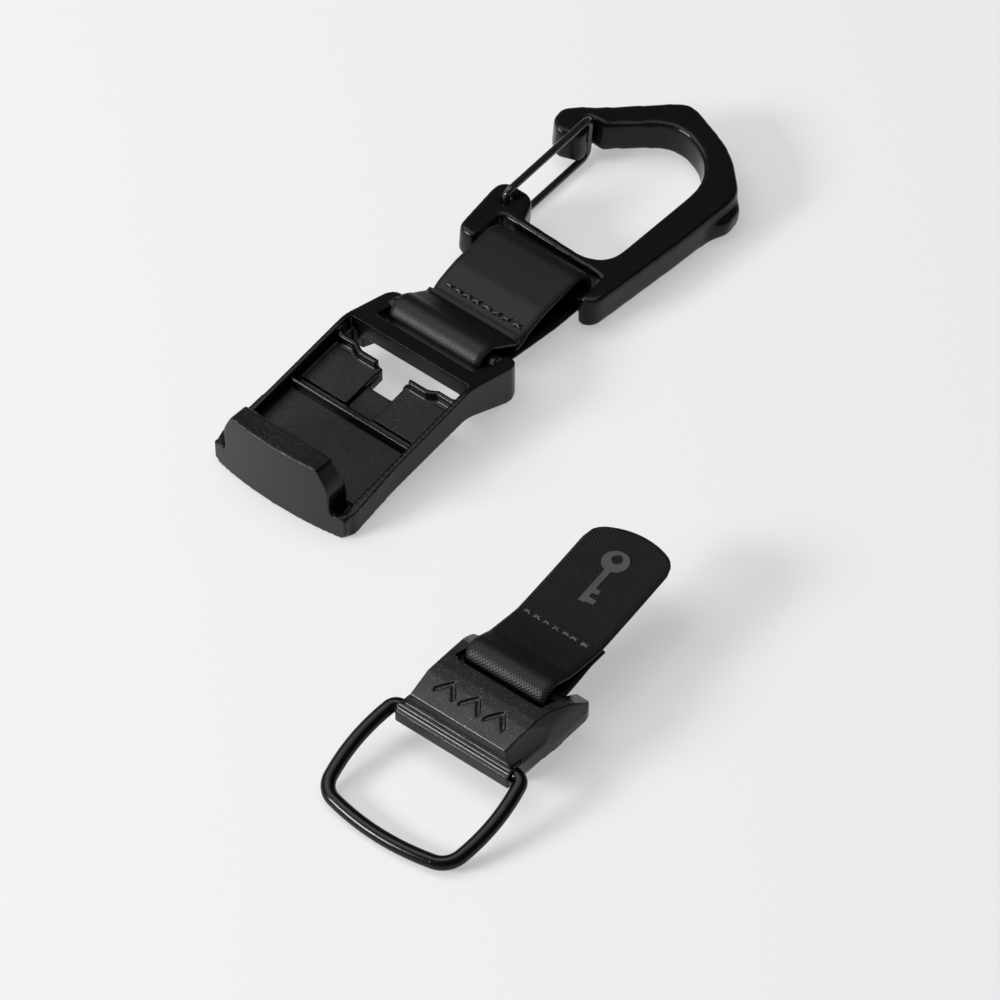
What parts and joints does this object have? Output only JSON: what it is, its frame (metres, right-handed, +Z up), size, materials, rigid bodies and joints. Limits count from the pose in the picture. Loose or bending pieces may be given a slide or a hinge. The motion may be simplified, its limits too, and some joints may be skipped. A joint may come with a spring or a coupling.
{
  "type": "key organiser",
  "caption": "Two-part magnetic quick-release key holder: a hooked socket on a short strap with a wire-gate carabiner, and a pull plate with a D-ring and a webbing tab.",
  "frame": {"origin": "middle of the laid-out set, on the table", "axes": "+X across the socket towards the pull half, +Y along the socket towards the carabiner's tip, +Z up from the table"},
  "size_m": [0.1199, 0.1981, 0.0172],
  "materials": {
    "moulding": "fine grain",
    "magnet": "nickel plated",
    "plate_steel": "plain",
    "wire": "gloss black",
    "strap": "satin",
    "webbing": "fine twill",
    "thread": "bonded thread",
    "ink": "screen print"
  },
  "bodies": {
    "socket": {"socket_frame": "moulding", "socket_floor_plate": "moulding", "socket_magnets": "magnet", "socket_keeper": "plate_steel"},
    "strap": {"strap_band": "strap", "strap_stitches": "thread"},
    "carabiner": {"carabiner_frame": "moulding"},
    "gate": {"gate_wire": "wire"},
    "pull_half": {"pull_plate": "moulding", "pull_base": "moulding", "pull_magnets": "magnet", "pull_keeper": "plate_steel"},
    "ring": {"key_ring": "wire"},
    "tab": {"tab_webbing": "webbing", "tab_stitches": "thread", "tab_print": "ink"}
  },
  "joints": [
    {"name": "strap_swing", "type": "hinge", "parent": "socket", "child": "strap", "pos_m": [-0.0343, 0.0109, 0.0085], "axis": [1, 0, 0], "range_deg": [-60, 30]},
    {"name": "carabiner_swing", "type": "hinge", "parent": "strap", "child": "carabiner", "pos_m": [-0.03384, 0.0397, 0.0068], "axis": [0.9972, 0, -0.075], "range_deg": [-75, 45]},
    {"name": "gate_opens", "type": "hinge", "parent": "carabiner", "child": "gate", "pos_m": [-0.0505, 0.0495, 0.0067], "axis": [-0.075, 0, -0.9972], "range_deg": [0, 35], "stiffness_Nm_per_rad": 0.05, "springref_deg": -171.89},
    {"name": "pull_half_lifts_across", "type": "slide", "parent": "socket", "child": "pull_half", "axis": [-0.8425, 0.3815, 0.3804], "range_m": [0, 0.0894]},
    {"name": "ring_swing", "type": "hinge", "parent": "pull_half", "child": "ring", "pos_m": [0.04094, -0.0724, 0.0076], "axis": [-0.9997, -0.0244, 0], "range_deg": [-20, 95]},
    {"name": "tab_swing", "type": "hinge", "parent": "pull_half", "child": "tab", "pos_m": [0.04052, -0.05501, 0.01095], "axis": [0.9997, 0.0244, 0], "range_deg": [-30, 75], "stiffness_Nm_per_rad": 0.03}
  ]
}
